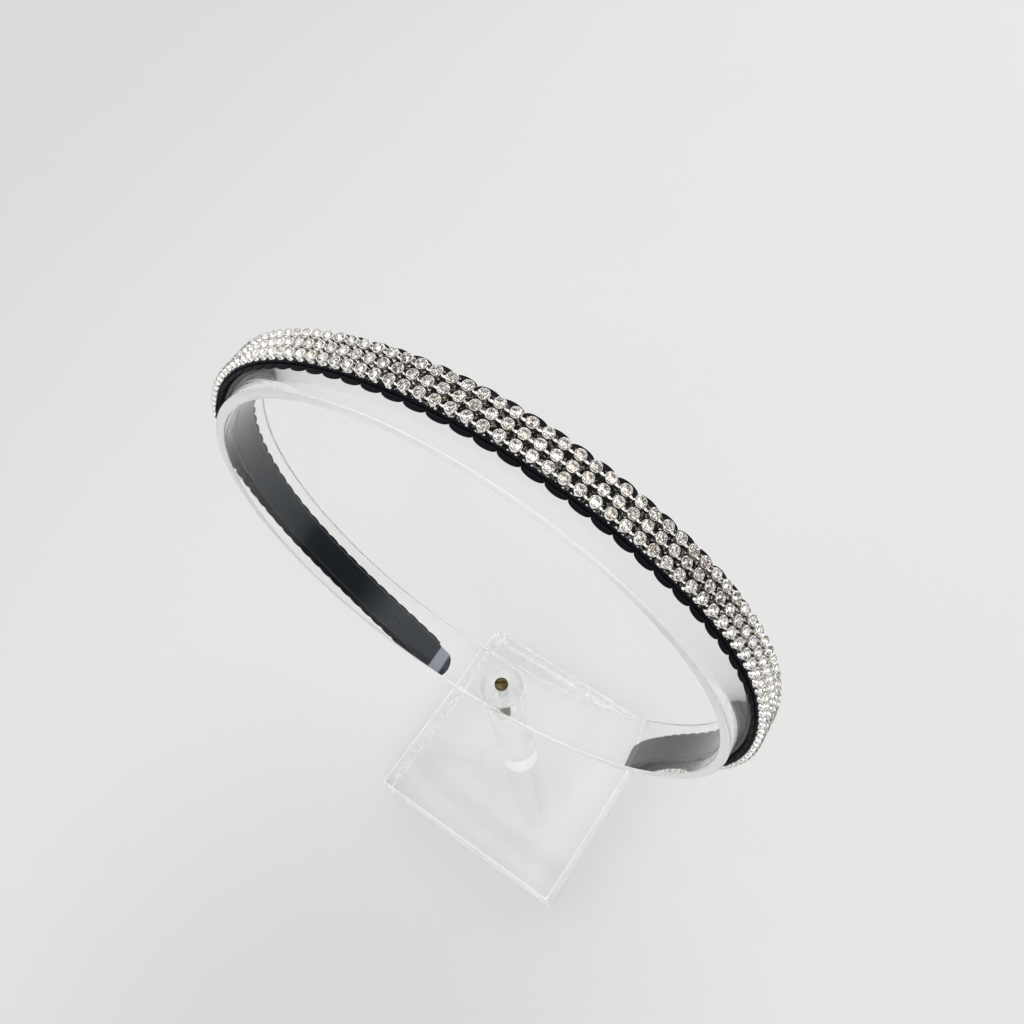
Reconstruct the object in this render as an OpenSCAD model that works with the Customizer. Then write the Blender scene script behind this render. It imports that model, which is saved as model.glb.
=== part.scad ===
// Crystal headband on its clear display stand, in millimetres.
// The origin is the middle of the base's underside, X runs along the band, +Y is the back.

/* [Stones] */
// Distance between neighbouring stones of a row
stone_pitch = 3.0; // [2.9:0.05:3.2]
// Distance between the three rows
row_gap = 2.45; // [2.42:0.01:2.7]
// Outside diameter of a stone's metal cup
cup_d = 2.3; // [2.0:0.05:2.4]
// Height of a cup's wall
cup_h = 1.1; // [0.8:0.1:1.4]
// Number of facets round a stone
facets = 8; // [8:1:10]

/* [Band] */
// Width of the plain band against the head
core_w = 6.4; // [6:0.1:7.4]
// Thickness of the plain band
core_t = 1.3; // [1:0.1:2]
// Width of the black trim across its lobes, over the head
trim_w = 9.8; // [9.6:0.1:11]
// Width of the black trim across its lobes, on the legs
leg_trim_w = 8.4; // [8.4:0.1:9.4]
// How far each lobe of the trim stands out past the dips, over the head
lobe_rise = 0.9; // [0.2:0.05:0.95]
// How far it stands out on the legs
leg_lobe_rise = 0.4; // [0.1:0.05:0.4]
// Length of one lobe
lobe_pitch = 4.56; // [4:0.02:5]
// Thickness of the trim
trim_t = 0.7; // [0.5:0.1:1]
// Width of the ribbon under the stones
ribbon_w = 7.5; // [7.4:0.1:7.6]
// Thickness of the ribbon
ribbon_t = 0.45; // [0.3:0.05:0.6]
// Bare length of the band past the trim at each end
tip_len = 7; // [5:0.5:10]
// Width of the bare end
tip_w = 6.2; // [5:0.1:6.4]

/* [Stand] */
// Side of the square base
base_w = 66; // [60:1:80]
// Thickness of the base
base_t = 15; // [8:1:16]
// Turn of the base against the loop, in degrees
base_turn = -3; // [-10:1:10]
// Diameter of the post
post_d = 12; // [8:0.5:14]
// Outside width of the loop
loop_w = 127.6; // [127:0.2:130]
// Outside height of the loop
loop_h = 131; // [130.8:0.2:132]
// Width of the loop's strip, front to back
strip_w = 13.6; // [12:0.2:16]
// Thickness of the loop's strip
strip_t = 2.2; // [1.5:0.1:2.4]
// Height of the loop's lowest point over the table
loop_z = 79; // [78:0.5:79]
// Diameter of the brass screw's head
head_d = 4.6; // [4:0.1:6]
// Diameter of the screw's shaft
shaft_d = 3; // [2:0.5:3.5]

/* [Hidden] */
$fn = 96;

// Clearance between two pieces that lie on each other
gap = 0.05;

// The guide line runs through the middle row at the height of the cups' rims.
// Each row of a table is one arc, from the top of the band down to its end.
RADIUS = 0;
LENGTH = 1;
right_arcs = [[67.5, 36], [76, 36], [53.5, 30], [89, 30], [70, 30], [-150, 36]];
left_arcs = [[67.5, 36], [76.5, 36], [65.5, 30], [79, 30], [140, 30], [2000, 30]];
// Place of the guide line's top point, and how far the band leans to the left on the loop
band_top = [-14.4, 1.5, 212.2];
band_lean = -12.4;
// Length of the flat faces that make up a bent strip
strip_step = 2;

// The trim and the plain band under it run between the bare ends. The lobes are counted from one dip,
// and the trim narrows between these distances from the top, left and right.
trim_from = tip_len - total(left_arcs);
trim_to = total(right_arcs) - tip_len;
dip_at = 62;
narrow_left = [60, 115];
narrow_right = [90, 140];

// Heights are measured from the guide line, outward
ribbon_top = -cup_h - gap;
trim_top = ribbon_top - ribbon_t - gap;
core_top = trim_top - trim_t - gap;

// The bare ends are a little thinner than the band and rooted in it
tip_inset = 0.1;
tip_root = 2;

// The ribbon stops short of the trim, and the stones stop short of the ribbon
ribbon_end = 2;
stone_shift = -0.7;
first_stone = ceil((trim_from + ribbon_end + cup_d - stone_shift) / stone_pitch);
last_stone = floor((trim_to - ribbon_end - cup_d - stone_shift) / stone_pitch);

// Cut of a stone: the girdle lies just below the cup's rim and the table above it
girdle_d = 1.96;
girdle_z = -0.12;
table_d = 1.1;
table_z = 0.42;

// Flat link between two cups
link_w = 0.8;
link_t = 0.35;
link_z = -0.75;

// The loop is an oval of four arcs that meet at 45 degrees
oval_k = (loop_h - loop_w) / 2 / (2 - sqrt(2));
oval_r_ends = loop_h / 2 - oval_k;
oval_r_sides = loop_w / 2 + oval_k;
loop_mid = loop_z + loop_h / 2;

// Screw: head on the inside of the strip, shaft down into the post
head_h = 1.6;
shaft_len = 14;
shaft_gap = 0.1;
seat_gap = 0.08;

clear_acrylic = [0.86, 0.89, 0.90, 0.45];
black_cloth = [0.05, 0.05, 0.06];
black_satin = [0.13, 0.13, 0.15];
crystal_silver = [0.82, 0.82, 0.84];
dark_brass = [0.45, 0.33, 0.16];

// Guide line
function stone_at(k) = k * stone_pitch + stone_shift;

function total(arcs, i = 0) = i == len(arcs) ? 0 : arcs[i][LENGTH] + total(arcs, i + 1);

// A place on the line is [x, z, angle], where the angle is the fall of the line in degrees
function step(p, radius, length) =
    let (a = p[2] + length / radius * 180 / PI)
    [p[0] + radius * (sin(a) - sin(p[2])), p[1] + radius * (cos(a) - cos(p[2])), a];

function walk(p, arcs, s, i = 0) =
    i == len(arcs) - 1 || s <= arcs[i][LENGTH]
    ? step(p, arcs[i][RADIUS], s)
    : walk(step(p, arcs[i][RADIUS], arcs[i][LENGTH]), arcs, s - arcs[i][LENGTH], i + 1);

function mirrored(p) = [-p[0], p[1], -p[2]];

function guide(s) = s >= 0 ? walk([0, 0, 0], right_arcs, s) : mirrored(walk([0, 0, 0], left_arcs, -s));

// The point at distance s along the line, y across the band and h outward
function on_band(s, y, h) =
    let (p = guide(s))
    [p[0] + h * sin(p[2]), y, p[1] + h * cos(p[2])];

module on_loop_lean() {
    translate(band_top) rotate([0, band_lean, 0]) children();
}

// Puts a child that stands on the XY plane on the band at distance s
module at(s, y = 0, h = 0) {
    p = guide(s);
    translate(on_band(s, y, h)) rotate([0, p[2], 0]) children();
}

// A strip of flat faces bent along the guide line, between two heights and two distances
module strip(width, low, high, from, to) {
    n = ceil((to - from) / strip_step);
    stations = [for (i = [0 : n]) from + (to - from) * i / n];
    rim = concat(
        [for (s = stations) on_band(s, 0, low)],
        [for (i = [n : -1 : 0]) on_band(stations[i], 0, high)]);
    rotate([90, 0, 0]) linear_extrude(width, center = true) polygon([for (q = rim) [q[0], q[2]]]);
}

// Band
module bare_end(s, way) {
    straight = tip_len - tip_w / 2;
    back = way > 0 ? -tip_root : -straight;
    at(s, 0, core_top - core_t + tip_inset) linear_extrude(core_t - 2 * tip_inset) {
        translate([back, -tip_w / 2]) square([straight + tip_root, tip_w]);
        translate([way * straight, 0]) circle(d = tip_w);
    }
}

module band_core() {
    color(black_satin) on_loop_lean() {
        strip(core_w, core_top - core_t, core_top, trim_from, trim_to);
        bare_end(trim_to, 1);
        bare_end(trim_from, -1);
    }
}

// The trim's edge swells and dips once in each lobe
LOBE_STEPS = 6;
lobe_stations = concat(
    [trim_from],
    [for (i = [ceil((trim_from - dip_at) / lobe_pitch * LOBE_STEPS + 0.5)
               : floor((trim_to - dip_at) / lobe_pitch * LOBE_STEPS - 0.5)])
        dip_at + i * lobe_pitch / LOBE_STEPS],
    [trim_to]);

function in_lobe(s) = (s - dip_at) / lobe_pitch - floor((s - dip_at) / lobe_pitch);

// 0 over the head, 1 on the legs
function on_leg(s) =
    let (range = s < 0 ? narrow_left : narrow_right)
    min(1, max(0, (abs(s) - range[0]) / (range[1] - range[0])));

function half_width(s) =
    let (leg = on_leg(s),
         widest = (trim_w + leg * (leg_trim_w - trim_w)) / 2,
         rise = lobe_rise + leg * (leg_lobe_rise - lobe_rise),
         t = in_lobe(s))
    widest - rise * (1 - sqrt(max(0, 1 - pow(2 * t - 1, 2))));

module scalloped_trim() {
    low = trim_top - trim_t;
    count = len(lobe_stations) - 1;
    points = [
        for (s = lobe_stations)
            let (w = half_width(s))
            each [on_band(s, -w, low), on_band(s, w, low), on_band(s, w, trim_top), on_band(s, -w, trim_top)]
    ];
    sides = [
        for (i = [0 : count - 1], k = [0 : 3])
            let (a = 4 * i + k, b = 4 * i + (k + 1) % 4)
            each [[a, b + 4, b], [a, a + 4, b + 4]]
    ];
    last = 4 * count;
    ends = [[0, 1, 2, 3], [last + 3, last + 2, last + 1, last]];
    color(black_cloth) on_loop_lean() polyhedron(points, concat(sides, ends));
}

module base_ribbon() {
    color(black_cloth) on_loop_lean()
        strip(ribbon_w, ribbon_top - ribbon_t, ribbon_top, trim_from + ribbon_end, trim_to - ribbon_end);
}

// Stones of one row: a ring of facets round a flat table, all the row's stones in one go
module row_stones(y) {
    n = facets;
    per_stone = 2 * n;
    points = [
        for (k = [first_stone : last_stone], ring = [0, 1], j = [0 : n - 1])
            let (a = 360 * (j + 0.5) / n,
                 z = ring == 0 ? girdle_z : table_z,
                 r = (ring == 0 ? girdle_d : table_d) / 2,
                 p = guide(stone_at(k)),
                 c = on_band(stone_at(k), y, z))
            c + r * [cos(a) * cos(p[2]), sin(a), -cos(a) * sin(p[2])]
    ];
    faces = [
        for (k = [0 : last_stone - first_stone])
            let (o = k * per_stone)
            each concat(
                [[for (j = [0 : n - 1]) o + j]],
                [[for (j = [n - 1 : -1 : 0]) o + n + j]],
                [for (j = [0 : n - 1]) [o + (j + 1) % n, o + j, o + n + j, o + n + (j + 1) % n]])
    ];
    polyhedron(points, faces);
}

module crystal_row(y) {
    link_len = stone_pitch - cup_d + 0.5;
    color(crystal_silver) on_loop_lean() {
        row_stones(y);
        for (k = [first_stone : last_stone])
            at(stone_at(k), y, -cup_h) cylinder(d = cup_d, h = cup_h);
        for (k = [first_stone : last_stone - 1])
            at(stone_at(k + 0.5), y, link_z)
                translate([-link_len / 2, -link_w / 2, 0]) cube([link_len, link_w, link_t]);
    }
}

module crystal_row_front() { crystal_row(-row_gap); }

module crystal_row_middle() { crystal_row(0); }

module crystal_row_back() { crystal_row(row_gap); }

// Stand
module base_plate() {
    color(clear_acrylic)
        rotate([0, 0, base_turn]) translate([-base_w / 2, -base_w / 2, 0]) cube([base_w, base_w, base_t]);
}

module post() {
    top = loop_z - gap;
    color(clear_acrylic) difference() {
        translate([0, 0, base_t + gap]) cylinder(d = post_d, h = top - base_t - gap);
        translate([0, 0, top - shaft_len]) cylinder(d = shaft_d + 2 * shaft_gap, h = shaft_len + 1);
    }
}

module quarter_arc(radius, centre_x, centre_z, turn) {
    translate([centre_x, 0, centre_z]) rotate(a = -120, v = [1, 1, 1]) rotate([0, 0, turn - 45])
        rotate_extrude(angle = 90, $fn = 360)
            translate([radius - strip_t, -strip_w / 2]) square([strip_t, strip_w]);
}

module display_loop() {
    reach_z = loop_h / 2 - oval_r_ends;
    reach_x = oval_r_sides - loop_w / 2;
    color(clear_acrylic) difference() {
        union() {
            quarter_arc(oval_r_ends, 0, loop_mid + reach_z, 0);
            quarter_arc(oval_r_sides, -reach_x, loop_mid, 90);
            quarter_arc(oval_r_ends, 0, loop_mid - reach_z, 180);
            quarter_arc(oval_r_sides, reach_x, loop_mid, 270);
        }
        translate([0, 0, loop_z - 1]) cylinder(d = shaft_d + 2 * shaft_gap, h = strip_t + 2);
    }
}

module screw() {
    seat = loop_z + strip_t + seat_gap;
    color(dark_brass) {
        translate([0, 0, seat]) cylinder(d = head_d, h = head_h);
        translate([0, 0, loop_z - shaft_len + 1]) cylinder(d = shaft_d, h = seat - loop_z + shaft_len - 1);
    }
}

base_plate();
post();
screw();
display_loop();
band_core();
scalloped_trim();
base_ribbon();
crystal_row_front();
crystal_row_middle();
crystal_row_back();
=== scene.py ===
"""Looks of the crystal headband on its clear display stand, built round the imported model.

Lengths in the named values are millimetres. A place on the band is (s, y, h): the distance along the
guide line from its top, the place across the band, and the height outward from the guide line, which
runs through the middle row at the height of the cups' rims.
"""

import math

import bpy
import numpy as np
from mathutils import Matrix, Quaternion, Vector


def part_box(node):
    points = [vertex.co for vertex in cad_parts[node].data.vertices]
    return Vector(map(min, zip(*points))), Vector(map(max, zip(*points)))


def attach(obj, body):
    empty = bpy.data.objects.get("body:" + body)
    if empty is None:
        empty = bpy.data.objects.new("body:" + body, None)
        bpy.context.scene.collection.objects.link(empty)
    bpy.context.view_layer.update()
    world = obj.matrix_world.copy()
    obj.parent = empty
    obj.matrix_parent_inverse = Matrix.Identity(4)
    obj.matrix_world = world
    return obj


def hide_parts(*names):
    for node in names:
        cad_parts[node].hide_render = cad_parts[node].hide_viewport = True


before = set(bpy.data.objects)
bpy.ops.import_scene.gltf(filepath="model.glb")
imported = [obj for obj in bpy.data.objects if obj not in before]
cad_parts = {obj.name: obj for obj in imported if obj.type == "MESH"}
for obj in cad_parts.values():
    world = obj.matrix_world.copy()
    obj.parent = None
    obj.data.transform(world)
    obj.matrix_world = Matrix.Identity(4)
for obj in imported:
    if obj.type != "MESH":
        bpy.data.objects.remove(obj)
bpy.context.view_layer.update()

MM = 0.001
BODY = "root"
SEED = 7

# The guide line as in the part: (radius, length) of each arc from the top down to an end
RIGHT_ARCS = [(67.5, 36), (76, 36), (53.5, 30), (89, 30), (70, 30), (-150, 36)]
LEFT_ARCS = [(67.5, 36), (76.5, 36), (65.5, 30), (79, 30), (140, 30), (2000, 30)]
BAND_TOP = np.array([-14.4, 1.5, 212.2])
BAND_LEAN = math.radians(-12.4)

# Band, as in the part
CORE_W = 6.4
CORE_T = 1.3
TRIM_W = 9.8
LEG_TRIM_W = 8.4
LOBE_RISE = 0.9
LEG_LOBE_RISE = 0.4
LOBE_PITCH = 4.56
DIP_AT = 62
NARROW_LEFT = (60, 115)
NARROW_RIGHT = (90, 140)
TRIM_T = 0.7
RIBBON_W = 7.5
RIBBON_T = 0.45
RIBBON_END = 2
TIP_LEN = 7
TIP_W = 6.2
TIP_INSET = 0.1
CUP_D = 2.3
CUP_H = 1.1
GAP = 0.05
RIBBON_TOP = -CUP_H - GAP
TRIM_TOP = RIBBON_TOP - RIBBON_T - GAP
CORE_TOP = TRIM_TOP - TRIM_T - GAP
TRIM_FROM = TIP_LEN - sum(length for _, length in LEFT_ARCS)
TRIM_TO = sum(length for _, length in RIGHT_ARCS) - TIP_LEN

# Stones, as in the part
STONE_PITCH = 3.0
STONE_SHIFT = -0.7
ROW_GAP = 2.45
FIRST_STONE = -60
LAST_STONE = 62

# Spread of the small turns and tilts, in radians, and the most that a cup or a link tilts
STONE_TILT = 0.03
CUP_TURN = 0.10
LINK_TILT = 0.08
MOST_CUP_TILT = 0.02
MOST_LINK_TILT = 0.06

# The ribbon stays flat this far round a cup's middle, which is just past the cup's foot
FOOT_ROOM = 1.42

# Stand, as in the part
BASE_TURN = math.radians(-3)
STRIP_T = 2.2
HOLE_R = 1.6
HOLE_DEPTH = 14

# A turned outline starts and ends this far from its axis
AXIS_R = 0.01
# Faces that meet at more than this have a sharp edge between them
SHARP_ANGLE = math.radians(30)
# Direction across the band
ACROSS = np.array([0.0, 1.0, 0.0])

# Refraction of the stand's clear pieces, and brightness of the surroundings
CLEAR_IOR = 1.33
WORLD_STRENGTH = 1.35

# Camera of the photograph
CAMERA_AT = Vector((69.91, -66.36, 331.70)) * MM
CAMERA_AIM = Vector((-2.33, 19.17, 145.0)) * MM
CAMERA_ROLL = math.radians(-9.32)
CAMERA_LENS = 33.635


# Guide line
def arc_step(place, radius, length):
    """The x, z and heading at the end of an arc that starts at a place."""
    x, z, a = place
    b = a + length / radius
    return (x + radius * (math.sin(b) - math.sin(a)), z + radius * (math.cos(b) - math.cos(a)), b)


def walk(arcs, s):
    """The x, z and heading at distance s along the arcs, of which the last one goes on."""
    place = (0.0, 0.0, 0.0)
    for radius, length in arcs[:-1]:
        if s <= length:
            return arc_step(place, radius, s)
        place = arc_step(place, radius, length)
        s -= length
    return arc_step(place, arcs[-1][0], s)


def guide(s):
    """Origin, direction along the band, and outward normal at distance s, in millimetres."""
    if s >= 0:
        x, z, a = walk(RIGHT_ARCS, s)
    else:
        x, z, a = walk(LEFT_ARCS, -s)
        x, a = -x, -a
    c, n = math.cos(BAND_LEAN), math.sin(BAND_LEAN)
    lean = np.array([[c, 0, n], [0, 1, 0], [-n, 0, c]])
    origin = BAND_TOP + lean @ np.array([x, 0, z])
    along = lean @ np.array([math.cos(a), 0, -math.sin(a)])
    outward = lean @ np.array([math.sin(a), 0, math.cos(a)])
    return origin, along, outward


def sweep(stations, across, heights):
    """Points of a section carried along the guide line: a row of (y, h) for each station."""
    places = [guide(s) for s in stations]
    origin = np.array([p[0] for p in places])[:, None, :]
    outward = np.array([p[2] for p in places])[:, None, :]
    return (origin + across[..., None] * ACROSS + heights[..., None] * outward).reshape(-1, 3)


# Meshes
def ring_quads(rings, points, closed=False):
    """Quads between neighbouring rings of as many points, each ring closed on itself."""
    a = np.arange(rings if closed else rings - 1)[:, None]
    j = np.arange(points)[None, :]
    b = (a + 1) % rings
    k = (j + 1) % points
    return np.stack([a * points + j, b * points + j, b * points + k, a * points + k], -1).reshape(-1, 4)


def end_caps(rings, points):
    """The two end faces of a tube made by ring_quads."""
    first = np.arange(points)
    last = (rings - 1) * points + first[::-1]
    return np.stack([first, last])


def volume(points, faces):
    """Signed volume inside the faces: it is positive where they face outward."""
    total = 0.0
    for f in faces:
        for i in range(1, f.shape[1] - 1):
            a, b, c = points[f[:, 0]], points[f[:, i]], points[f[:, i + 1]]
            total += float(np.einsum("ij,ij->i", a, np.cross(b, c)).sum()) / 6
    return total


def facing_out(points, faces):
    """The faces, all turned over if they face inward."""
    return faces if volume(points, faces) > 0 else [f[:, ::-1] for f in faces]


def turned(points, angle):
    """The points turned about the Z axis."""
    c, n = math.cos(angle), math.sin(angle)
    return points @ np.array([[c, n, 0], [-n, c, 0], [0, 0, 1]])


def tube_faces(points, rings, width):
    """Outward faces of a tube of rings that has a face at each end."""
    return facing_out(points, [ring_quads(rings, width), end_caps(rings, width)])


def make_object(name, points, faces, materials, slots=None, smooth=True, uv=None):
    """A mesh object from points in millimetres.

    faces is a list of index arrays, each of one width. uv has a row for each point or each face corner.
    """
    mesh = bpy.data.meshes.new(name)
    corners = np.concatenate([f.ravel() for f in faces]).astype(np.int32)
    sizes = np.concatenate([np.full(len(f), f.shape[1]) for f in faces])
    starts = np.concatenate([[0], np.cumsum(sizes)[:-1]]).astype(np.int32)
    mesh.vertices.add(len(points))
    mesh.vertices.foreach_set("co", (points * MM).astype(np.float32).ravel())
    mesh.loops.add(len(corners))
    mesh.loops.foreach_set("vertex_index", corners)
    mesh.polygons.add(len(sizes))
    mesh.polygons.foreach_set("loop_start", starts)
    for material in materials:
        mesh.materials.append(material)
    if slots is not None:
        mesh.polygons.foreach_set("material_index", slots.astype(np.int32))
    flags = np.full(len(sizes), smooth) if np.isscalar(smooth) else smooth
    mesh.polygons.foreach_set("use_smooth", flags.astype(bool))
    mesh.update(calc_edges=True)
    if uv is not None:
        layer = mesh.uv_layers.new(name="along_across")
        at_corners = uv if len(uv) == len(corners) else uv[corners]
        layer.data.foreach_set("uv", at_corners.astype(np.float32).ravel())
    piece = bpy.data.objects.new(name, mesh)
    bpy.context.scene.collection.objects.link(piece)
    return piece


def stand_for(piece, node):
    """The piece is shown in place of a CAD node, which is hidden, and is joined to the body."""
    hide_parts(node)
    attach(piece, BODY)


def sharpen(piece):
    """Keeps the edges sharp where the faces meet at more than the sharp angle."""
    piece.data.set_sharp_from_angle(angle=SHARP_ANGLE)


def cut(piece, cutter):
    """Takes the cutter's shape out of the piece."""
    step = piece.modifiers.new("cut", "BOOLEAN")
    step.operation = "DIFFERENCE"
    step.object = cutter
    step.solver = "EXACT"
    graph = bpy.context.evaluated_depsgraph_get()
    result = bpy.data.meshes.new_from_object(piece.evaluated_get(graph))
    piece.modifiers.clear()
    piece.data = result
    bpy.data.objects.remove(cutter)


def rounded(half_w, low, high, radius, steps=5):
    """Rows of (y, h) round rectangles with round corners. Every argument but steps is an array."""
    turn = np.linspace(0, math.pi / 2, steps)
    y_parts = []
    h_parts = []
    for corner, (side, upper) in enumerate([(1, True), (-1, True), (-1, False), (1, False)]):
        a = turn + corner * math.pi / 2
        edge = high - radius if upper else low + radius
        y_parts.append(side * (half_w - radius)[:, None] + radius[:, None] * np.cos(a))
        h_parts.append(edge[:, None] + radius[:, None] * np.sin(a))
    return np.concatenate(y_parts, 1), np.concatenate(h_parts, 1)


def band_uv(stations, across, heights):
    """Millimetres along the band and round its section."""
    steps = np.hypot(np.diff(across, axis=1), np.diff(heights, axis=1))
    round_it = np.concatenate([np.zeros((len(stations), 1)), np.cumsum(steps, 1)], 1)
    along = np.repeat(np.asarray(stations)[:, None], across.shape[1], 1)
    return np.stack([along, round_it], -1).reshape(-1, 2)


# Materials
def new_material(name, **values):
    """A material with values on its shader's sockets, then its nodes, its links and the shader."""
    material = bpy.data.materials.new(name)
    material.use_nodes = True
    nodes = material.node_tree.nodes
    shader = nodes["Principled BSDF"]
    for socket, value in values.items():
        shader.inputs[socket.replace("_", " ")].default_value = value
    return material, nodes, material.node_tree.links, shader


def add_node(nodes, kind, **inputs):
    """A shader node with values on its inputs."""
    made = nodes.new("ShaderNode" + kind)
    for name, value in inputs.items():
        made.inputs[name.replace("_", " ")].default_value = value
    return made


def textured(nodes, links, kind, source, stretch=(1, 1, 1), **inputs):
    """A texture on a coordinate output, stretched by factors along its axes."""
    place = add_node(nodes, "Mapping", Scale=stretch)
    links.new(source, place.inputs["Vector"])
    made = add_node(nodes, kind, **inputs)
    links.new(place.outputs["Vector"], made.inputs["Vector"])
    return made


def ramp(nodes, links, source, stops):
    """A colour ramp fed by source. stops is a list of (place, grey or colour)."""
    made = nodes.new("ShaderNodeValToRGB")
    while len(made.color_ramp.elements) < len(stops):
        made.color_ramp.elements.new(0.5)
    for element, (place, colour) in zip(made.color_ramp.elements, stops):
        element.position = place
        element.color = (*colour, 1) if isinstance(colour, tuple) else (colour, colour, colour, 1)
    links.new(source, made.inputs["Fac"])
    return made.outputs["Color"]


def mixed(nodes, links, amount, under, colour):
    """A colour laid over another one, or over an output, by an amount."""
    made = nodes.new("ShaderNodeMix")
    made.data_type = "RGBA"
    links.new(amount, made.inputs["Factor"])
    if isinstance(under, tuple):
        made.inputs["A"].default_value = (*under, 1)
    else:
        links.new(under, made.inputs["A"])
    made.inputs["B"].default_value = (*colour, 1)
    return made.outputs["Result"]


def soft_range(nodes, links, source, low, high):
    """0 where source is low and 1 where it is high, with a smooth change between."""
    made = nodes.new("ShaderNodeMapRange")
    made.interpolation_type = "SMOOTHSTEP"
    made.inputs["From Min"].default_value = low
    made.inputs["From Max"].default_value = high
    links.new(source, made.inputs["Value"])
    return made.outputs["Result"]


def bump(nodes, links, height, strength, depth, under=None):
    """A bump of the depth in millimetres, on top of another one."""
    made = add_node(nodes, "Bump", Strength=strength, Distance=depth * MM)
    links.new(height, made.inputs["Height"])
    if under is not None:
        links.new(under, made.inputs["Normal"])
    return made.outputs["Normal"]


def acrylic_material():
    """Clear polished acrylic with faint handling marks."""
    material, nodes, links, shader = new_material(
        "acrylic_clear", Base_Color=(0.985, 0.988, 0.986, 1), IOR=CLEAR_IOR, Transmission_Weight=1.0)
    place = nodes.new("ShaderNodeTexCoord").outputs["Object"]
    marks = textured(nodes, links, "TexNoise", place, Scale=220.0, Detail=3.0)
    links.new(ramp(nodes, links, marks.outputs["Fac"], [(0.45, 0.01), (0.8, 0.05)]),
              shader.inputs["Roughness"])
    return material


def acrylic_edge_material():
    """The sawn and flamed edge of the acrylic sheet, a little milky."""
    material, nodes, links, shader = new_material(
        "acrylic_edge", Base_Color=(0.99, 0.99, 0.975, 1), Roughness=0.4, IOR=CLEAR_IOR,
        Transmission_Weight=0.6)
    place = nodes.new("ShaderNodeTexCoord").outputs["Object"]
    grain = textured(nodes, links, "TexNoise", place, Scale=900.0, Detail=4.0)
    links.new(bump(nodes, links, grain.outputs["Fac"], 0.25, 0.05), shader.inputs["Normal"])
    return material


def acrylic_side_material():
    """The base's upright faces, sanded and polished, so that they are a little cloudy."""
    return new_material("acrylic_side", Base_Color=(0.99, 0.99, 0.985, 1), Roughness=0.22,
                        IOR=CLEAR_IOR, Transmission_Weight=0.85)[0]


def glue_material():
    """The dull film of glue between the post and the base."""
    return new_material("clear_glue", Base_Color=(0.90, 0.90, 0.89, 1), Roughness=0.5,
                        IOR=CLEAR_IOR, Transmission_Weight=0.7)[0]


def satin_material():
    """Black satin with fine lengthwise threads, and a paler bluish painted reflection on the left tongue.
    """
    material, nodes, links, shader = new_material(
        "satin_black", Specular_IOR_Level=0.3, Specular_Tint=(0.62, 0.80, 1.0, 1))
    place = nodes.new("ShaderNodeUVMap").outputs["UV"]
    threads = textured(nodes, links, "TexNoise", place, (0.2, 4.0, 1), Scale=1.0, Detail=4.0,
                       Roughness=0.6)
    shade = threads.outputs["Fac"]
    colour = ramp(nodes, links, shade, [(0.3, (0.002, 0.003, 0.005)), (0.75, (0.006, 0.009, 0.014))])
    along = nodes.new("ShaderNodeSeparateXYZ")
    links.new(place, along.inputs["Vector"])
    reach = nodes.new("ShaderNodeMapRange")
    reach.inputs["From Min"].default_value = TRIM_FROM - TIP_LEN
    reach.inputs["From Max"].default_value = TRIM_FROM
    links.new(along.outputs["X"], reach.inputs["Value"])
    # The left tongue is painted paler and bluish: a painted reflection of light on it
    painted_reflection = ramp(nodes, links, reach.outputs["Result"],
                  [(0.30, 0.0), (0.42, 1.0), (0.92, 1.0), (0.96, 0.0)])
    links.new(mixed(nodes, links, painted_reflection, colour, (0.27, 0.28, 0.34)), shader.inputs["Base Color"])
    links.new(ramp(nodes, links, shade, [(0.3, 0.26), (0.8, 0.38)]), shader.inputs["Roughness"])
    links.new(bump(nodes, links, shade, 0.12, 0.03), shader.inputs["Normal"])
    return material


def trim_material():
    """Black gimp cord: fine threads that run along each lobe, with their crests painted a little lighter
    as a painted highlight.
    """
    material, nodes, links, shader = new_material("trim_cord", Roughness=0.6, Specular_IOR_Level=0.09)
    place = nodes.new("ShaderNodeUVMap").outputs["UV"]
    threads = textured(nodes, links, "TexWave", place, (0.15, 1, 1), Scale=0.42, Distortion=1.5,
                       Detail=2.0)
    threads.bands_direction = "Y"
    fuzz = textured(nodes, links, "TexNoise", place, (1.5, 6, 1), Scale=1.0, Detail=5.0, Roughness=0.65)
    colour = ramp(nodes, links, fuzz.outputs["Fac"],
                  [(0.35, (0.001, 0.001, 0.002)), (0.75, (0.008, 0.009, 0.013))])
    # Painted highlight: the threads' crests are painted a little lighter
    painted_ridge_light = ramp(nodes, links, threads.outputs["Fac"], [(0.7, 0.0), (1.0, 1.0)])
    colour = mixed(nodes, links, painted_ridge_light, colour, (0.012, 0.013, 0.018))
    links.new(colour, shader.inputs["Base Color"])
    coarse = bump(nodes, links, threads.outputs["Fac"], 0.9, 0.2)
    links.new(bump(nodes, links, fuzz.outputs["Fac"], 0.5, 0.08, coarse), shader.inputs["Normal"])
    return material


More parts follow.
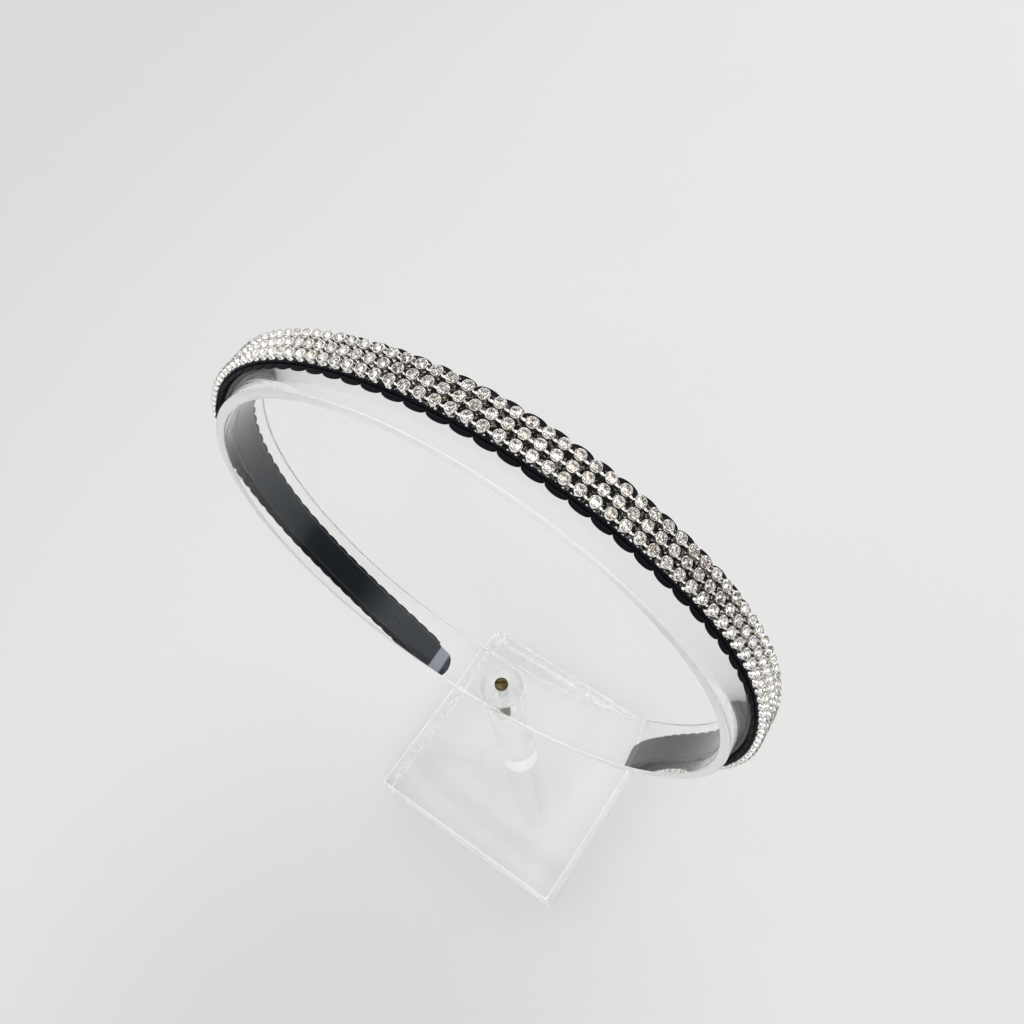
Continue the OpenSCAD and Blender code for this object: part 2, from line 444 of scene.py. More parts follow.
def ribbon_material():
    """Black woven ribbon under glossy dark glue, between the cups, with thin pale lines painted on as
    glints.
    """
    material, nodes, links, shader = new_material("ribbon_weave", Specular_IOR_Level=0.14)
    place = nodes.new("ShaderNodeUVMap").outputs["UV"]
    weft = textured(nodes, links, "TexWave", place, Scale=0.7, Distortion=0.6, Detail=1.0)
    lumps = textured(nodes, links, "TexNoise", place, Scale=2.6, Detail=4.0, Roughness=0.6)
    shade = lumps.outputs["Fac"]
    glint_noise = textured(nodes, links, "TexNoise", place, Scale=1.3, Detail=3.0, Roughness=0.55)
    # Painted glints: thin pale lines along contours of a noise
    painted_glints = ramp(nodes, links, glint_noise.outputs["Fac"],
                   [(0.565, 0.0), (0.575, 1.0), (0.615, 1.0), (0.625, 0.0)])
    colour = mixed(nodes, links, painted_glints, (0.003, 0.003, 0.003), (0.34, 0.33, 0.30))
    links.new(colour, shader.inputs["Base Color"])
    links.new(ramp(nodes, links, shade, [(0.35, 0.05), (0.7, 0.16)]), shader.inputs["Roughness"])
    coarse = bump(nodes, links, weft.outputs["Fac"], 0.4, 0.06)
    links.new(bump(nodes, links, shade, 1.0, 0.35, coarse), shader.inputs["Normal"])
    return material


def silver_material():
    """Bright plated metal of the cups and links, with small dents and a little tarnish."""
    material, nodes, links, shader = new_material("cup_silver", Metallic=1.0)
    place = nodes.new("ShaderNodeTexCoord").outputs["Object"]
    stain = textured(nodes, links, "TexNoise", place, Scale=700.0, Detail=3.0).outputs["Fac"]
    colour = ramp(nodes, links, stain, [(0.35, (0.80, 0.78, 0.74)), (0.6, (0.97, 0.96, 0.94))])
    links.new(colour, shader.inputs["Base Color"])
    links.new(ramp(nodes, links, stain, [(0.35, 0.20), (0.6, 0.09)]), shader.inputs["Roughness"])
    links.new(bump(nodes, links, stain, 0.3, 0.04), shader.inputs["Normal"])
    return material


def crystal_material():
    """Clear glass of the stones' crowns."""
    return new_material("crystal_glass", Base_Color=(1, 1, 1, 1), Roughness=0.0, IOR=1.5,
                        Transmission_Weight=1.0)[0]


def foil_material():
    """Mirror foil behind the stones, each facet a random shade: dark and brown ones are painted dark
    reflections, bluish ones painted fire, the rest bright.
    """
    material, nodes, links, shader = new_material("stone_foil", Metallic=1.0, Roughness=0.16)
    place = nodes.new("ShaderNodeUVMap").outputs["UV"]
    painted_facet = nodes.new("ShaderNodeSeparateXYZ")
    links.new(place, painted_facet.inputs["Vector"])
    # Low picks give painted dark reflections, high picks painted fire
    stops = [(0.00, (0.06, 0.05, 0.045)), (0.08, (0.20, 0.16, 0.12)), (0.10, (0.60, 0.50, 0.38)),
             (0.20, (0.80, 0.72, 0.60)), (0.24, (0.95, 0.92, 0.87)), (0.62, (0.98, 0.97, 0.94)),
             (0.88, (0.97, 0.97, 0.96)), (0.92, (0.78, 0.76, 0.84)), (1.00, (0.84, 0.84, 0.90))]
    links.new(ramp(nodes, links, painted_facet.outputs["X"], stops), shader.inputs["Base Color"])
    return material


def gap_shadow_material():
    """Painted shadow of the dark gaps round the stones, on their girdles, the cups' inner walls and
    beside the claws, less dark in random patches.
    """
    material, nodes, links, shader = new_material("girdle_gap_shadow", Roughness=0.3)
    place = nodes.new("ShaderNodeTexCoord").outputs["Object"]
    uneven = textured(nodes, links, "TexNoise", place, Scale=900.0, Detail=2.0).outputs["Fac"]
    colour = ramp(nodes, links, uneven, [(0.4, (0.010, 0.009, 0.008)), (0.7, (0.08, 0.06, 0.045))])
    links.new(colour, shader.inputs["Base Color"])
    return material


def brass_material():
    """Darkened brass, brighter where it is worn."""
    material, nodes, links, shader = new_material("brass_dark", Metallic=1.0, Roughness=0.3)
    place = nodes.new("ShaderNodeTexCoord").outputs["Object"]
    stain = textured(nodes, links, "TexNoise", place, Scale=600.0, Detail=4.0).outputs["Fac"]
    colour = ramp(nodes, links, stain, [(0.35, (0.03, 0.024, 0.014)), (0.7, (0.20, 0.155, 0.07))])
    links.new(colour, shader.inputs["Base Color"])
    links.new(bump(nodes, links, stain, 0.3, 0.05), shader.inputs["Normal"])
    return material


# Stand
def lathe(profile, around):
    """Points and faces of a profile of (r, z) pairs turned round the Z axis."""
    a = np.linspace(0, 2 * math.pi, around, endpoint=False)
    r, z = (np.array(column)[:, None] for column in zip(*profile))
    points = np.stack([r * np.cos(a), r * np.sin(a), z + 0 * a], -1).reshape(-1, 3)
    return points, tube_faces(points, len(profile), around)


def make_base(clear, edge, side_clear):
    """The square block, with small milky chamfers along all its edges and cloudy upright faces."""
    low, high = (np.array(corner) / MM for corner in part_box("base_plate"))
    # A turned square has a box this much wider than its side
    side = (high[0] - low[0]) / (math.cos(BASE_TURN) + abs(math.sin(BASE_TURN)))
    half = side / 2
    chamfer = 0.5
    levels = [(half - chamfer, 0), (half, chamfer), (half, high[2] - chamfer), (half - chamfer, high[2])]
    points = []
    for reach, z in levels:
        cut_back = reach - chamfer
        outline = [(reach, -cut_back), (reach, cut_back), (cut_back, reach), (-cut_back, reach),
                   (-reach, cut_back), (-reach, -cut_back), (-cut_back, -reach), (cut_back, -reach)]
        points += [(x, y, z) for x, y in outline]
    points = turned(np.array(points), BASE_TURN)
    faces = tube_faces(points, len(levels), len(outline))
    # Chamfers below, upright faces with a chamfer after each wide one, chamfers above, two flat faces
    slots = np.array([1] * 8 + [2, 1] * 4 + [1] * 8 + [0, 0])
    piece = make_object("stand_base", points, faces, [clear, edge, side_clear], slots, smooth=False)
    stand_for(piece, "base_plate")


def make_post(clear, glue):
    """The round rod on its film of glue, with the blind hole of the screw."""
    low, high = (np.array(corner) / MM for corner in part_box("post"))
    radius = (high[0] - low[0]) / 2
    chamfer = 0.3
    hole_chamfer = 0.1
    around = 96
    floor_z = high[2] - HOLE_DEPTH
    profile = [(AXIS_R, low[2]), (radius - chamfer, low[2]), (radius, low[2] + chamfer),
               (radius, high[2] - chamfer), (radius - chamfer, high[2]),
               (HOLE_R + hole_chamfer, high[2]), (HOLE_R, high[2] - hole_chamfer),
               (HOLE_R, floor_z), (AXIS_R, floor_z)]
    points, faces = lathe(profile, around)
    # The first ring of faces is the underside, which the glue covers
    slots = np.zeros(len(faces[0]) + len(faces[1]))
    slots[:around] = 1
    piece = make_object("stand_post", points, faces, [clear, glue], slots)
    sharpen(piece)
    stand_for(piece, "post")


def make_loop(clear, edge):
    """The strip of clear sheet bent to an oval of four arcs, with sawn edges and the screw's hole."""
    low, high = (np.array(corner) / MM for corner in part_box("display_loop"))
    width, height = high[0] - low[0], high[2] - low[2]
    half_strip = (high[1] - low[1]) / 2
    middle = (low[2] + high[2]) / 2
    k = (height - width) / 2 / (2 - math.sqrt(2))
    r_ends, r_sides = height / 2 - k, width / 2 + k
    reach_z, reach_x = height / 2 - r_ends, r_sides - width / 2
    corner = 0.22
    per_arc = 96
    one = np.ones(1)
    y, depth = (part[0] for part in rounded(one * half_strip, 0 * one, one * STRIP_T, one * corner))
    points = []
    for radius, cx, cz, middle_turn in [(r_sides, -reach_x, 0, 0), (r_ends, 0, reach_z, 90),
                                        (r_sides, reach_x, 0, 180), (r_ends, 0, -reach_z, 270)]:
        for i in range(per_arc):
            a = math.radians(middle_turn - 45 + 90 * i / per_arc)
            r = radius - depth
            points.append(np.stack([cx + r * math.cos(a), y, middle + cz + r * math.sin(a)], -1))
    points = np.concatenate(points)
    faces = facing_out(points, [ring_quads(4 * per_arc, len(y), closed=True)])
    piece = make_object("stand_loop", points, faces, [clear, edge])
    drill_low, drill_high = low[2] - 1, low[2] + STRIP_T + 1
    drill_line = [(AXIS_R, drill_low), (HOLE_R, drill_low), (HOLE_R, drill_high), (AXIS_R, drill_high)]
    drill_points, drill_faces = lathe(drill_line, 48)
    cut(piece, make_object("drill", drill_points, drill_faces, [clear]))
    for face in piece.data.polygons:
        face.material_index = int(abs(face.center.y) > (half_strip - corner) * MM)
        face.use_smooth = True
    sharpen(piece)
    stand_for(piece, "display_loop")


def make_screw(brass):
    """A slotted round-head screw with a threaded shaft. Its head is narrower than the part's."""
    low, high = (np.array(corner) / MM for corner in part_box("screw"))
    head_share = 0.82
    head_r = (high[0] - low[0]) / 2 * head_share
    head_h = 1.6
    rim = 0.15
    # Outline of the head's top: share of its radius, and height over its seat
    dome = [(1.0, 0.7), (0.93, 1.05), (0.75, 1.35), (0.4, 1.55)]
    shaft_r = 1.5
    neck_r = shaft_r - 0.1
    point_h = 0.5
    plain_len = 1
    pitch = 0.7
    thread_depth = 0.22
    thread_from = 0.6
    seat = high[2] - head_h
    profile = [(AXIS_R, low[2]), (shaft_r - point_h, low[2]), (neck_r, low[2] + point_h)]
    turns = int((seat - low[2] - plain_len) / pitch)
    for i in range(turns):
        z = low[2] + thread_from + i * pitch
        profile += [(shaft_r - thread_depth, z), (shaft_r, z + pitch / 2)]
    profile += [(neck_r, seat), (head_r - rim, seat), (head_r, seat + rim)]
    profile += [(head_r * share, seat + rise) for share, rise in dome]
    profile.append((AXIS_R, high[2]))
    points, faces = lathe(profile, 48)
    piece = make_object("brass_screw", points, faces, [brass])
    slot_reach = 4.0
    half_slot = 0.35
    slot_depth = 0.7
    slot_turn = math.radians(35)
    slot_box = np.array([(x * slot_reach, y * half_slot, z) for z in (high[2] - slot_depth, high[2] + 1)
                         for x, y in ((-1, -1), (1, -1), (1, 1), (-1, 1))])
    slot_box = turned(slot_box, slot_turn)
    cut(piece, make_object("slot_cutter", slot_box, tube_faces(slot_box, 2, 4), [brass]))
    sharpen(piece)
    stand_for(piece, "screw")


# Band
def make_core(satin):
    """The hard band in its satin cover, with a narrower round tongue at each end."""
    half_tip = TIP_W / 2
    nose = half_tip * np.sin(np.radians(np.arange(0, 86, 8.5)))
    # First sections past the trim's end, where the core steps down to its tongue
    shoulder = (0.35, 1.5)
    body_stations = 400
    edge_r = 0.5
    thinning = 0.35

    def end_stations(trim_end, way):
        flat = trim_end + way * (TIP_LEN - half_tip)
        return [trim_end + way * x for x in shoulder] + [flat + way * x for x in nose]

    right = end_stations(TRIM_TO, 1)
    left = end_stations(TRIM_FROM, -1)[::-1]
    body = list(np.linspace(TRIM_FROM, TRIM_TO, body_stations))
    stations = np.array(left + body + right)
    beyond = np.maximum(stations - TRIM_TO, TRIM_FROM - stations)
    into_nose = np.clip(beyond - (TIP_LEN - half_tip), 0, half_tip)
    on_tongue = beyond > 0.01
    # The tongue's round end stops at a narrow blunt face
    round_w = np.sqrt(np.maximum(half_tip ** 2 - into_nose ** 2, 0.05))
    half_w = np.where(on_tongue, round_w, CORE_W / 2)
    inset = np.where(on_tongue, TIP_INSET, 0.0)
    thin = thinning * (into_nose / half_tip) ** 2
    low = CORE_TOP - CORE_T + inset + thin
    high = CORE_TOP - inset - thin * 0.4
    radius = np.minimum(np.minimum(edge_r, half_w * 0.9), (high - low) * 0.48)
    y, h = rounded(half_w, low, high, radius, steps=6)
    points = sweep(stations, y, h)
    faces = tube_faces(points, len(stations), y.shape[1])
    piece = make_object("band_satin", points, faces, [satin], uv=band_uv(stations, y, h))
    stand_for(piece, "band_core")


def trim_half_width(s):
    """Half the trim's width at distance s: it swells and dips once in each lobe."""
    reach = np.where(s < 0, (-s - NARROW_LEFT[0]) / (NARROW_LEFT[1] - NARROW_LEFT[0]),
                     (s - NARROW_RIGHT[0]) / (NARROW_RIGHT[1] - NARROW_RIGHT[0]))
    leg = np.clip(reach, 0, 1)
    widest = (TRIM_W + leg * (LEG_TRIM_W - TRIM_W)) / 2
    rise = LOBE_RISE + leg * (LEG_LOBE_RISE - LOBE_RISE)
    t = (s - DIP_AT) / LOBE_PITCH % 1.0
    swell = np.sqrt(np.clip(1 - (2 * t - 1) ** 2, 0, 1))
    return widest - rise * (1 - swell), swell


def make_trim(cord):
    """The cord trim: puffed lobes along both edges with a crease between each two."""
    lobe_steps = 17
    section_steps = 19
    clear_of_end = 0.1
    # A lobe starts this far from the middle. Its edge is the crease's share of the trim's thickness
    # between two lobes, and the puff's share more where the lobe is widest
    root = 3.3
    crease = 0.35
    puff = 0.75
    threads_round = 4.0
    in_lobe = (1 - np.cos(np.linspace(0, math.pi, lobe_steps)[:-1])) / 2
    first = math.floor((TRIM_FROM - DIP_AT) / LOBE_PITCH)
    last = math.ceil((TRIM_TO - DIP_AT) / LOBE_PITCH)
    stations = DIP_AT + LOBE_PITCH * (np.arange(first, last)[:, None] + in_lobe).ravel()
    stations = stations[(stations > TRIM_FROM + clear_of_end) & (stations < TRIM_TO - clear_of_end)]
    stations = np.concatenate([[TRIM_FROM], stations, [TRIM_TO]])
    half_w, swell = trim_half_width(stations)
    middle = TRIM_TOP - TRIM_T / 2
    t = np.linspace(0, 1, section_steps)[None, :]
    out = np.sin(math.pi * t) ** 0.8
    edge_t = TRIM_T / 2 * (crease + puff * swell)[:, None]
    blend = np.clip(out * 1.3, 0, 1) ** 2
    half_t = (1 - blend) * TRIM_T / 2 + blend * edge_t
    y_right = root + (half_w[:, None] - root) * out
    h_right = middle - np.cos(math.pi * t) * half_t
    y = np.concatenate([y_right, -y_right[:, ::-1]], 1)
    h = np.concatenate([h_right, h_right[:, ::-1]], 1)
    points = sweep(stations, y, h)
    faces = tube_faces(points, len(stations), y.shape[1])
    along = np.repeat(stations[:, None], y.shape[1], 1)
    thread = np.concatenate([t, 3 - t[:, ::-1]], 1) * threads_round
    uv = np.stack([along, np.repeat(thread, len(stations), 0)], -1).reshape(-1, 2)
    piece = make_object("scallop_trim", points, faces, [cord], uv=uv)
    stand_for(piece, "scalloped_trim")


def smooth_step(x):
    """0 up to 0 and 1 from 1 on, with a smooth change between."""
    x = np.clip(x, 0, 1)
    return x * x * (3 - 2 * x)


def ripple(s, y, rng, waves, shortest):
    """A smooth random height between about -1 and 1."""
    total = np.zeros(np.broadcast(s, y).shape)
    for _ in range(waves):
        turn = rng.uniform(0, 2 * math.pi)
        rate = 2 * math.pi / rng.uniform(shortest, 4 * shortest)
        total += np.sin(rate * (s * math.cos(turn) + y * math.sin(turn)) + rng.uniform(0, 2 * math.pi))
    return total / math.sqrt(waves)


def make_ribbon(weave, cord, rng):
    """The ribbon, and the glue that stands up between the cups."""
    step = 0.2
    across_steps = 41
    edge_inset = 0.12
    under_inset = 0.1
    glue_fade = 0.45
    edge_fade = 0.35
    glue_h = 0.26
    glue_spread = 0.13
    stations = np.arange(TRIM_FROM + RIBBON_END, TRIM_TO - RIBBON_END, step)
    half = RIBBON_W / 2
    y_top = np.linspace(half - edge_inset, -half + edge_inset, across_steps)
    s_grid, y_grid = np.meshgrid(stations, y_top, indexing="ij")
    nearest = (s_grid - STONE_SHIFT + STONE_PITCH / 2) % STONE_PITCH - STONE_PITCH / 2
    away = np.min([np.hypot(nearest, y_grid - row) for row in (-ROW_GAP, 0, ROW_GAP)], axis=0)
    room = smooth_step((away - FOOT_ROOM) / glue_fade)
    edge = smooth_step((half - np.abs(y_grid)) / edge_fade)
    lumps = ripple(s_grid, y_grid, rng, waves=32, shortest=0.45)
    top = RIBBON_TOP + room * edge * (glue_h + glue_spread * lumps)
    column = np.ones((len(stations), 1))
    y = np.concatenate([half * column, y_grid, -half * column, (under_inset - half) * column,
                        (half - under_inset) * column], 1)
    mid = (RIBBON_TOP - RIBBON_T / 2) * column
    under = (RIBBON_TOP - RIBBON_T) * column
    h = np.concatenate([mid, top, mid, under, under], 1)
    points = sweep(stations, y, h)
    faces = tube_faces(points, len(stations), y.shape[1])
    piece = make_object("ribbon_weave", points, faces, [weave, cord], uv=band_uv(stations, y, h))
    # Outside the cups the ribbon looks like the cord
    cord_from = ROW_GAP + CUP_D / 2 - 0.2
    for face in piece.data.polygons:
        face.material_index = int(abs(face.center.y - BAND_TOP[1] * MM) > cord_from * MM)
    stand_for(piece, "base_ribbon")


# Stones
def cut_stone():
    """Points, crown facets, foil facets and girdle faces of a brilliant-cut stone with a pointed back."""
    table_r, table_z = 0.52, 0.48
    star_r, star_z = 0.73, 0.35
    girdle_r, girdle_z = 0.90, 0.12
    belt_z = -0.08
    lower_r, lower_z = 0.40, -0.60
    point_z = -0.95

    def ring(r, z, count, start):
        a = start + np.arange(count) * 2 * math.pi / count
        return np.stack([r * np.cos(a), r * np.sin(a), np.full(count, z)], -1)

    eighth = math.pi / 8
    points = np.concatenate([ring(table_r, table_z, 8, 0), ring(star_r, star_z, 8, eighth),
                             ring(girdle_r, girdle_z, 16, 0), ring(girdle_r, belt_z, 16, 0),
                             ring(lower_r, lower_z, 8, eighth), np.array([[0, 0, point_z]])])
    table, star, girdle, belt, lower, point = 0, 8, 16, 32, 48, 56
    crown = []
    foil = []
    side = []
    for j in range(8):
        n = (j + 1) % 8
        before = (j - 1) % 8
        g0, g1, g2 = 2 * j, 2 * j + 1, (2 * j + 2) % 16
        crown += [(table + j, star + j, table + n)]
        crown += [(table + j, star + before, girdle + g0), (table + j, girdle + g0, star + j)]
        crown += [(star + j, girdle + g0, girdle + g1), (star + j, girdle + g1, girdle + g2)]
        foil += [(belt + g0, lower + j, belt + g1), (belt + g1, lower + j, belt + g2)]
        foil += [(belt + g0, lower + before, point), (belt + g0, point, lower + j)]
    for j in range(16):
        n = (j + 1) % 16
        side += [(girdle + j, belt + j, belt + n), (girdle + j, belt + n, girdle + n)]
    crown += [(table, table + j, table + j + 1) for j in range(1, 7)]
    return points, np.array(crown), np.array(foil), np.array(side)


def cup():
    """Points and quads of a metal cup with a rounded rim and four claws, and which quads carry painted
    shade.
    """
    # In degrees: the claw's middle in each quarter, half its width, the run of its sides and of the
    # foot's corner, and how far from the claw the slits lie, which are only painted shade
    claw_at = 45
    claw_half = 6
    claw_fade = 11
    corner_fade = 20
    slit_shade_from, slit_shade_to = 13, 22
    in_quarter = [0, 12, 22, 27, 31, 36, 45, 54, 59, 63, 68, 78]
    turns = np.radians([q * 90 + a for q in range(4) for a in in_quarter])
    from_claw = np.array([abs(a - claw_at) for _ in range(4) for a in in_quarter])
    claw = (1 - smooth_step((from_claw - claw_half) / claw_fade))[:, None]
    claw_line = [(0.70, -1.10), (1.36, -1.10), (1.40, -1.06), (1.38, -0.98), (1.24, -0.86), (1.17, -0.64),
                 (1.14, -0.40), (1.12, -0.16), (1.09, 0.06), (1.03, 0.19), (0.93, 0.26), (0.84, 0.31),
                 (0.81, 0.26), (0.94, 0.05)]
    wall_line = [(0.70, -1.10), (1.13, -1.10), (1.15, -1.06), (1.15, -1.00), (1.14, -0.92), (1.14, -0.72),
                 (1.14, -0.58), (1.13, -0.42), (1.11, -0.24), (1.09, -0.08), (1.06, 0.03), (1.00, 0.06),
                 (0.95, -0.01), (0.94, -0.45)]
    foot_points = 4
    corner = np.clip(1 - from_claw / corner_fade, 0, 1)[:, None]
    r_claw, z_claw = (np.array(column)[None, :] for column in zip(*claw_line))
    r_wall, z_wall = (np.array(column)[None, :] for column in zip(*wall_line))
    share = np.where(np.arange(len(wall_line))[None, :] < foot_points, corner, claw)
    r = share * r_claw + (1 - share) * r_wall
    z = share * z_claw + (1 - share) * z_wall
    points = np.stack([r * np.cos(turns)[:, None], r * np.sin(turns)[:, None], z], -1)
    rings, width = r.shape
    slit_shade_rows = range(4, 7)
    inner_wall = width - 2
    faces = []
    painted_shade_quads = []
    for i in range(rings):
        k = (i + 1) % rings
        faces += [(i * width + j, k * width + j, k * width + j + 1, i * width + j + 1)
                  for j in range(width - 1)]
        # Painted shade: the wall beside each claw, where slits would be, and the rim's inner wall are
        # dark
        beside_claw = slit_shade_from < (from_claw[i] + from_claw[k]) / 2 < slit_shade_to
        painted_shade_quads += [(beside_claw and j in slit_shade_rows) or j == inner_wall for j in range(width - 1)]
    faces = np.array(faces)
    points = points.reshape(-1, 3)
    return points, faces if volume(points, [faces]) > 0 else faces[:, ::-1], np.array(painted_shade_quads)


def link_tab():
    """Points and quads of the small domed tab between two cups."""
    along = np.array([-0.48, -0.34, -0.24, 0.0, 0.24, 0.34, 0.48])
    half_w = np.array([0.16, 0.17, 0.23, 0.25, 0.23, 0.17, 0.16])
    top = np.array([-0.98, -0.94, -0.84, -0.79, -0.84, -0.94, -0.98])
    one = np.ones(len(along))
    y, z = rounded(half_w, -1.06 * one, top, 0.04 * one, steps=3)
    points = np.stack([np.repeat(along[:, None], y.shape[1], 1), y, z], -1).reshape(-1, 3)
    return points, facing_out(points, [ring_quads(len(along), y.shape[1])])[0]


def make_row(name, node, row_y, materials, rng):
    """One cup chain: stones, cups and links joined into one mesh."""
    stone_points, crown, foil, side_faces = cut_stone()
    if volume(stone_points, [crown, foil, side_faces]) < 0:
        crown, foil, side_faces = crown[:, ::-1], foil[:, ::-1], side_faces[:, ::-1]
    cup_points, cup_faces, cup_painted_shade = cup()
    tab_points, tab_faces = link_tab()
    glass_slot, foil_slot, silver_slot, shadow_slot = range(len(materials))
    points = []
    triangles = []
    quads = []
    slots_tri = []
    slots_quad = []
    painted_facets = []
    count = 0

    def put(shape, s, turn, tilt):
        """The shape's points on the band, turned about its axis and tilted a little."""
        origin, along, outward = guide(s)
        local = turned(shape, turn)
        local = local + local[:, 2:] * np.array([tilt[0], tilt[1], 0]) - local[:, :1] * [0, 0, tilt[0]]
        local = local - np.stack([0 * local[:, 1], 0 * local[:, 1], local[:, 1] * tilt[1]], -1)
        middle = origin + row_y * ACROSS
        return middle + local[:, :1] * along + local[:, 1:2] * ACROSS + local[:, 2:] * outward

    for k in range(FIRST_STONE, LAST_STONE + 1):
        s = k * STONE_PITCH + STONE_SHIFT
        tilt = rng.normal(0, STONE_TILT, 2)
        points.append(put(stone_points, s, rng.uniform(0, 2 * math.pi), tilt))
        # The stone's girdle takes the painted shadow of the gap round it
        for part, slot in ((crown, glass_slot), (foil, foil_slot), (side_faces, shadow_slot)):
            triangles.append(part + count)
            slots_tri.append(np.full(len(part), slot))
            # A random pick for each facet, which the foil turns into painted dark reflections or painted
            # fire
            painted_facets.append(rng.uniform(0, 1, len(part)))
        count += len(stone_points)
        cup_tilt = np.clip(tilt, -MOST_CUP_TILT, MOST_CUP_TILT)
        points.append(put(cup_points, s, rng.normal(0, CUP_TURN), cup_tilt))
        quads.append(cup_faces + count)
        # The cup's slits and inner wall take the painted shade
        slots_quad.append(np.where(cup_painted_shade, shadow_slot, silver_slot))
        count += len(cup_points)
        if k < LAST_STONE:
            link_tilt = np.clip(rng.normal(0, LINK_TILT, 2), -MOST_LINK_TILT, MOST_LINK_TILT)
            points.append(put(tab_points, s + STONE_PITCH / 2, 0.0, link_tilt))
            quads.append(tab_faces + count)
            slots_quad.append(np.full(len(tab_faces), silver_slot))
            count += len(tab_points)
    faces = [np.concatenate(triangles), np.concatenate(quads)]
    slots = np.concatenate(slots_tri + slots_quad)
    painted_facet = np.concatenate([np.repeat(np.concatenate(painted_facets), 3), np.zeros(faces[1].size)])
    uv = np.stack([painted_facet, 0 * painted_facet], -1)
    smooth = np.arange(len(slots)) >= len(faces[0])
    piece = make_object(name, np.concatenate(points), faces, materials, slots, smooth, uv)
    stand_for(piece, node)


# Surroundings, with places in metres and directions from the middle of the base
FRONT_SHADE = (0.0, -0.13, 0)
DARK_SIDE = (0.97, 0.05, 0.24)
DIM_SIDE = (0.30, -0.52, 0.80)
LAMP_SIDE = (0.33, -0.39, 0.86)


def make_floor():
    """A wide pale floor just under the base, with painted shade: a little darker in front and on the
    left, dark far right.
    """
    material, nodes, links, shader = new_material("floor_pale", Roughness=0.55, Specular_IOR_Level=0.2)
    place = nodes.new("ShaderNodeTexCoord").outputs["Object"]
    cloud = textured(nodes, links, "TexNoise", place, Scale=3.0, Detail=2.0).outputs["Fac"]
    colour = ramp(nodes, links, cloud, [(0.3, (0.65, 0.65, 0.645)), (0.7, (0.67, 0.67, 0.665))])
    across = nodes.new("ShaderNodeSeparateXYZ")
    links.new(place, across.inputs["Vector"])
    near = nodes.new("ShaderNodeVectorMath")
    near.operation = "DISTANCE"
    links.new(place, near.inputs[0])
    near.inputs[1].default_value = FRONT_SHADE
    # Painted shade: a soft patch in front of the base, a fall to the left and dark far out on the right
    for amount, tone in ((soft_range(nodes, links, near.outputs["Value"], 0.18, 0.02), 0.57),
                         (soft_range(nodes, links, across.outputs["X"], -0.02, -0.50), 0.57),
                         (soft_range(nodes, links, across.outputs["X"], 0.17, 0.80), 0.12)):
        colour = mixed(nodes, links, amount, colour, (tone, tone, tone))
    links.new(colour, shader.inputs["Base Color"])
    reach = 3000
    drop = -0.1
    points = np.array([(x * reach, y * reach, drop) for x, y in ((-1, -1), (1, -1), (1, 1), (-1, 1))])
    floor = make_object("floor", points, [np.array([[0, 1, 2, 3]])], [material], smooth=False)


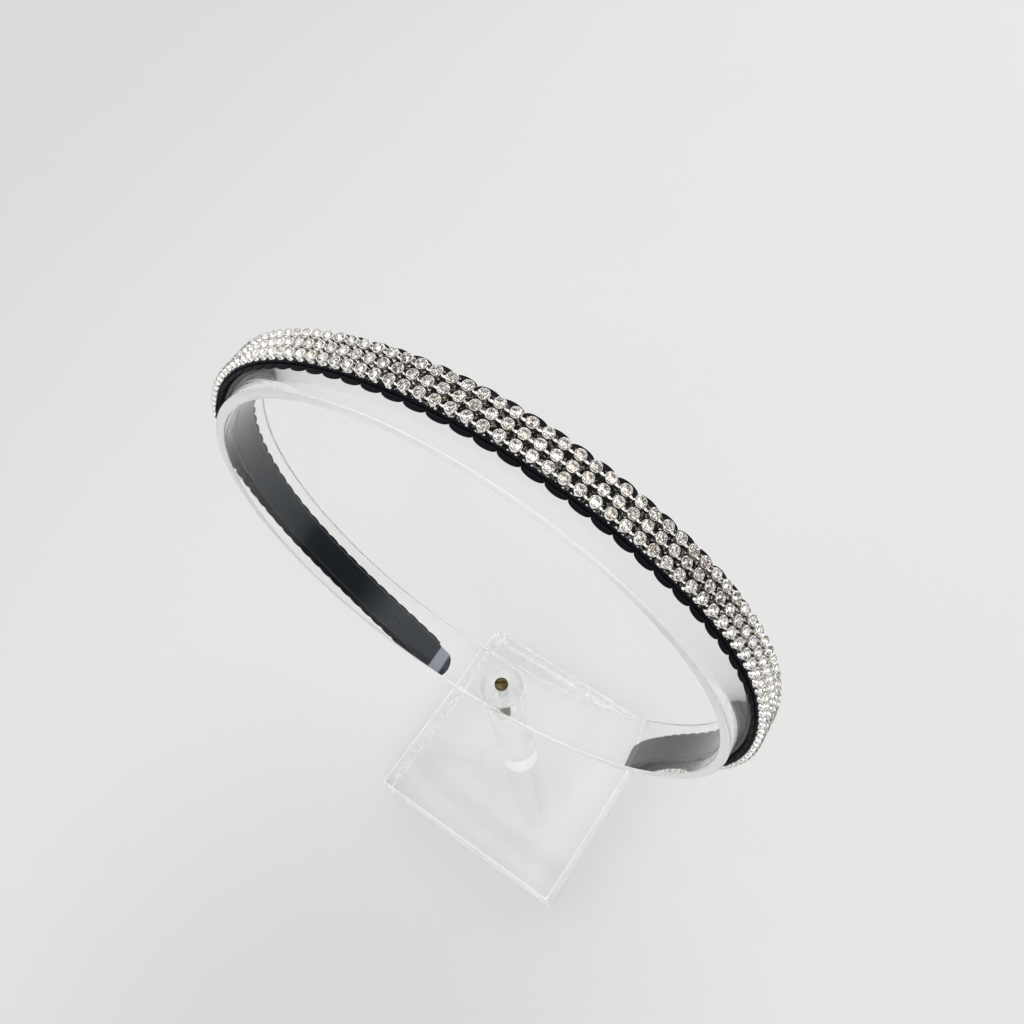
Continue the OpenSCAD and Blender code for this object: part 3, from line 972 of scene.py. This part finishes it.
def make_world():
    """Pale surroundings, dark low on one side, and dim in front round a ring lamp with a dark core."""
    world = bpy.data.worlds.new("studio")
    bpy.context.scene.world = world
    world.use_nodes = True
    nodes, links = world.node_tree.nodes, world.node_tree.links
    back = nodes["Background"]
    place = nodes.new("ShaderNodeTexCoord").outputs["Generated"]

    def toward(direction, outer, inner):
        """0 outside the cone round the direction, 1 inside it, with a soft edge. Angles in degrees."""
        lean = nodes.new("ShaderNodeVectorMath")
        lean.operation = "DOT_PRODUCT"
        links.new(place, lean.inputs[0])
        lean.inputs[1].default_value = Vector(direction).normalized()
        edge, core = (math.cos(math.radians(a)) for a in (outer, inner))
        return soft_range(nodes, links, lean.outputs["Value"], edge, core)

    height = nodes.new("ShaderNodeSeparateXYZ")
    links.new(place, height.inputs["Vector"])
    colour = ramp(nodes, links, height.outputs["Z"],
                  [(0.0, 0.62), (0.12, 0.70), (0.40, 0.95), (1.0, 1.0)])
    low = ramp(nodes, links, height.outputs["Z"], [(0.0, 1.0), (0.40, 1.0), (0.55, 0.6), (0.70, 0.0)])
    shaded = nodes.new("ShaderNodeMath")
    shaded.operation = "MULTIPLY"
    links.new(low, shaded.inputs[0])
    links.new(toward(DARK_SIDE, 42, 17), shaded.inputs[1])
    for amount, tone in ((shaded.outputs["Value"], 0.09),
                         (toward(DIM_SIDE, 52, 26), 0.62),
                         (toward(LAMP_SIDE, 20, 12), 2.4),
                         (toward(LAMP_SIDE, 7, 5), 0.03)):
        colour = mixed(nodes, links, amount, colour, (tone, tone, tone))
    links.new(colour, back.inputs["Color"])
    back.inputs["Strength"].default_value = WORLD_STRENGTH


def make_camera():
    """The camera that took the photograph."""
    data = bpy.data.cameras.new("camera")
    data.sensor_width = 36
    data.lens = CAMERA_LENS
    data.clip_start = 0.01
    camera = bpy.data.objects.new("camera", data)
    bpy.context.scene.collection.objects.link(camera)
    camera.location = CAMERA_AT
    look = (CAMERA_AIM - CAMERA_AT).to_track_quat("-Z", "Y")
    camera.rotation_mode = "QUATERNION"
    camera.rotation_quaternion = look @ Quaternion((0, 0, 1), CAMERA_ROLL)
    bpy.context.scene.camera = camera


def main():
    scene = bpy.context.scene
    scene.view_settings.view_transform = "Standard"
    scene.cycles.use_denoising = True
    scene.cycles.max_bounces = 16
    scene.cycles.glossy_bounces = 8
    scene.cycles.transmission_bounces = 16
    # Without this the clear pieces would keep the light off the floor under them
    scene.cycles.blur_glossy = 0.0
    make_camera()
    rng = np.random.default_rng(SEED)
    clear = acrylic_material()
    edge = acrylic_edge_material()
    make_base(clear, edge, acrylic_side_material())
    make_post(clear, glue_material())
    make_loop(clear, edge)
    make_screw(brass_material())
    make_core(satin_material())
    cord = trim_material()
    make_trim(cord)
    make_ribbon(ribbon_material(), cord, rng)
    # The last material is the painted shadow of the gaps round the stones
    stone_materials = [crystal_material(), foil_material(), silver_material(), gap_shadow_material()]
    for name, node, row_y in (("crystals_front", "crystal_row_front", -ROW_GAP),
                              ("crystals_middle", "crystal_row_middle", 0.0),
                              ("crystals_back", "crystal_row_back", ROW_GAP)):
        make_row(name, node, row_y, stone_materials, rng)
    make_floor()
    make_world()


main()
